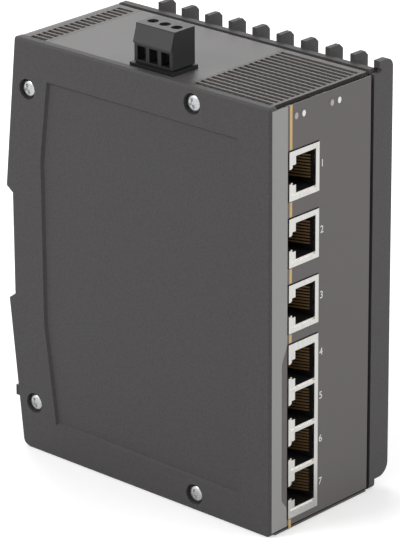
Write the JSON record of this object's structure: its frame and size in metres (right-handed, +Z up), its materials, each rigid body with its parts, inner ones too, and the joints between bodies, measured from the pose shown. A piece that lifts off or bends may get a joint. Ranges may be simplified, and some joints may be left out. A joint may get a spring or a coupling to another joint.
{
  "type": "din rail ethernet switch",
  "caption": "Upright rail-mounted network switch with a finned heat sink side, network sockets down the front, vent grilles, a screw terminal plug and a sprung rail foot.",
  "frame": {"origin": "On the base plane, under the middle of the overall box", "axes": "+X from the side cover to the cooling fins, +Y from the front panel to the rail, +Z up"},
  "size_m": [0.0582, 0.1178, 0.1576],
  "materials": {
    "textured_paint": "fine textured dark grey paint",
    "case_plastic": "fine textured dark grey",
    "panel_foil": "satin grey foil with a silver band",
    "zinc_steel": "bright zinc",
    "tin_plate": "bright tin",
    "black_plastic": "satin black",
    "gold_contact": "gold plated",
    "board_green": "solder mask",
    "brass_post": "turned",
    "clear_pipe": "frosted",
    "pad_rubber": "soft",
    "can_metal": "satin",
    "cast_fixing": "bead blasted",
    "foot_plastic": "satin",
    "spring_steel": "bright"
  },
  "bodies": {
    "case": {"board_link": "black_plastic", "capacitors": "can_metal", "case_shell": "case_plastic", "core_board": "board_green", "core_chip": "black_plastic", "core_chip_pad": "pad_rubber", "crystal": "can_metal", "far_posts": "brass_post", "fixing_screws": "zinc_steel", "floor_grille": "case_plastic", "foot_spring": "spring_steel", "front_panel": "panel_foil", "header_pins": "gold_contact", "heat_sink": "textured_paint", "jack_insert_1": "black_plastic", "jack_insert_2": "black_plastic", "jack_insert_3": "black_plastic", "jack_insert_block": "black_plastic", "jack_shell_1": "tin_plate", "jack_shell_2": "tin_plate", "jack_shell_3": "tin_plate", "jack_shell_block": "tin_plate", "jack_wires_1": "gold_contact", "jack_wires_2": "gold_contact", "jack_wires_3": "gold_contact", "jack_wires_block": "gold_contact", "lamp_board": "board_green", "lamp_board_link": "black_plastic", "light_pipes": "clear_pipe", "memory_chips": "black_plastic", "near_posts": "brass_post", "port_board": "board_green", "port_transformers": "black_plastic", "power_coil": "black_plastic", "power_header": "black_plastic", "power_transformer": "black_plastic", "rail_fixing": "cast_fixing", "side_cover": "textured_paint", "status_lamps": "clear_pipe", "switch_chip": "black_plastic", "switch_chip_pad": "pad_rubber", "tie_screws": "zinc_steel", "top_grille_front": "case_plastic", "top_grille_rear": "case_plastic"},
    "foot": {"rail_foot": "foot_plastic"},
    "plug": {"plug_body": "black_plastic", "plug_contacts": "gold_contact"},
    "screw_1": {"clamp_screw_1": "zinc_steel"},
    "cage_1": {"clamp_cage_1": "zinc_steel"},
    "screw_2": {"clamp_screw_2": "zinc_steel"},
    "cage_2": {"clamp_cage_2": "zinc_steel"},
    "screw_3": {"clamp_screw_3": "zinc_steel"},
    "cage_3": {"clamp_cage_3": "zinc_steel"}
  },
  "joints": [
    {"name": "foot_slide", "type": "slide", "parent": "case", "child": "foot", "axis": [0, 0, -1], "range_m": [0, 0.004], "stiffness_N_per_m": 600, "springref_m": -0.003, "deforming": ["foot_spring"]},
    {"name": "plug_pull", "type": "slide", "parent": "case", "child": "plug", "axis": [0, 0, 1], "range_m": [0, 0.01]},
    {"name": "cage_1_lift", "type": "slide", "parent": "plug", "child": "cage_1", "axis": [0, 0, 1], "range_m": [0, 0.0025]},
    {"name": "screw_1_turn", "type": "hinge", "parent": "plug", "child": "screw_1", "pos_m": [-0.01915, -0.01093, 0.155], "axis": [0, 0, 1], "range_deg": [0, 1800]},
    {"name": "cage_2_lift", "type": "slide", "parent": "plug", "child": "cage_2", "axis": [0, 0, 1], "range_m": [0, 0.0025]},
    {"name": "screw_2_turn", "type": "hinge", "parent": "plug", "child": "screw_2", "pos_m": [-0.01915, -0.00585, 0.155], "axis": [0, 0, 1], "range_deg": [0, 1800]},
    {"name": "cage_3_lift", "type": "slide", "parent": "plug", "child": "cage_3", "axis": [0, 0, 1], "range_m": [0, 0.0025]},
    {"name": "screw_3_turn", "type": "hinge", "parent": "plug", "child": "screw_3", "pos_m": [-0.01915, -0.00077, 0.155], "axis": [0, 0, 1], "range_deg": [0, 1800]}
  ],
  "couplings": [
    {"joint": "screw_1_turn", "follows": "cage_1_lift", "rad_per_m": 12566},
    {"joint": "screw_2_turn", "follows": "cage_2_lift", "rad_per_m": 12566},
    {"joint": "screw_3_turn", "follows": "cage_3_lift", "rad_per_m": 12566}
  ]
}
